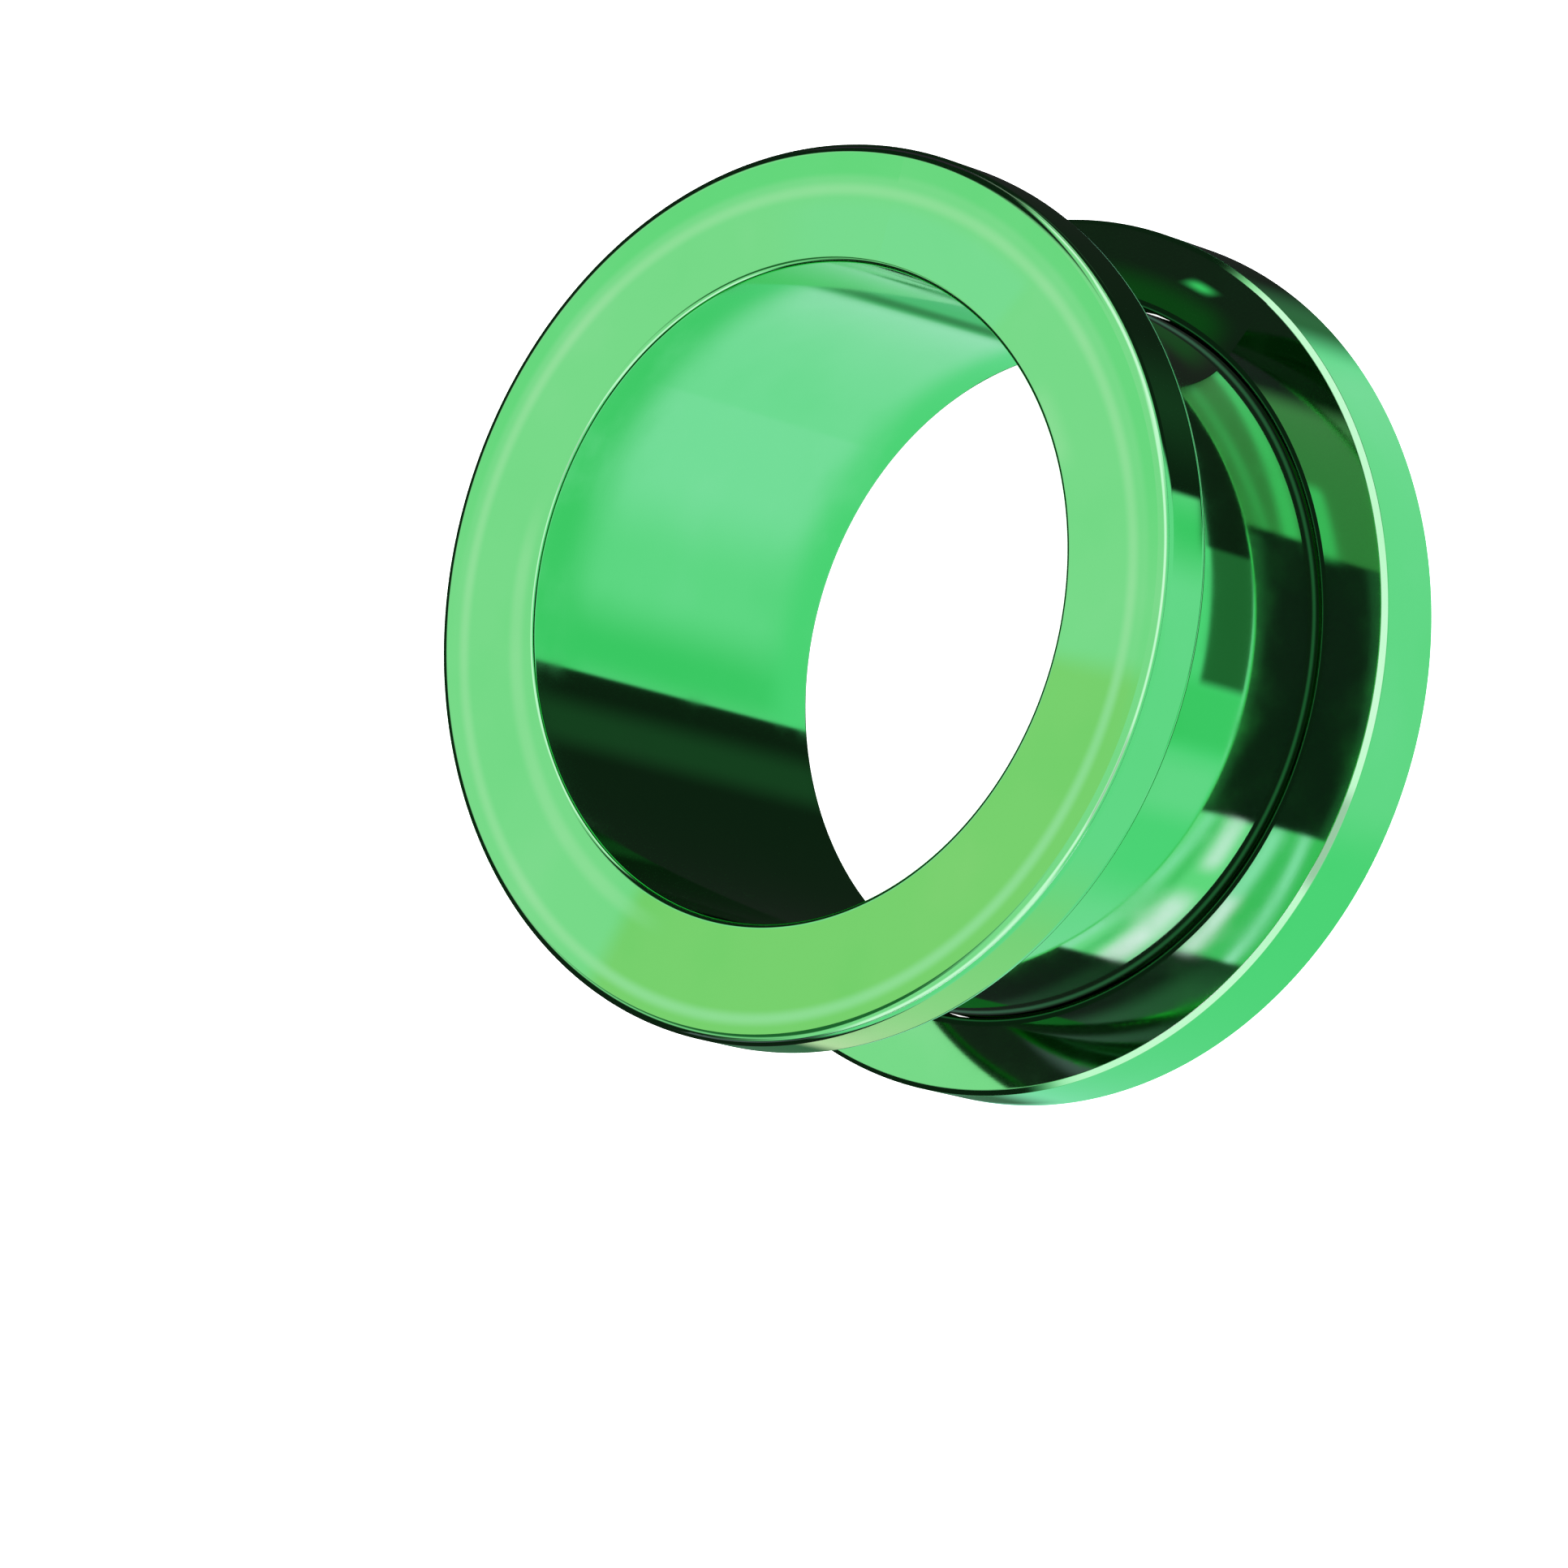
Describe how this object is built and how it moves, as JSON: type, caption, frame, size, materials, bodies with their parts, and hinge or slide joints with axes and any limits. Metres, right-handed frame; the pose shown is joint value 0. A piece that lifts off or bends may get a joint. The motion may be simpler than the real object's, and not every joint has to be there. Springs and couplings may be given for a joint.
{
  "type": "screw-fit ear tunnel",
  "caption": "Hollow ear tunnel: a polished tube with a fixed flat flange at one end and a threaded ring flange that screws onto the other.",
  "frame": {"origin": "centre of the screw ring's outer face, where the tunnel lies on the surface under it", "axes": "+Z along the tunnel's axis, from the screw ring up to the fixed flange; X and Y lie in the flanges' plane and are alike"},
  "size_m": [0.0244, 0.0244, 0.0125],
  "materials": {
    "barrel_metal": "mirror polished surgical steel with a bright green anodised-look coating",
    "ring_metal": "mirror polished surgical steel with a bright green anodised-look coating"
  },
  "bodies": {
    "ring": {"screw_ring": "ring_metal"},
    "barrel": {"flanged_barrel": "barrel_metal"}
  },
  "joints": [
    {"name": "unscrew", "type": "slide", "parent": "ring", "child": "barrel", "axis": [0, 0, 1], "range_m": [0, 0.0024]}
  ]
}
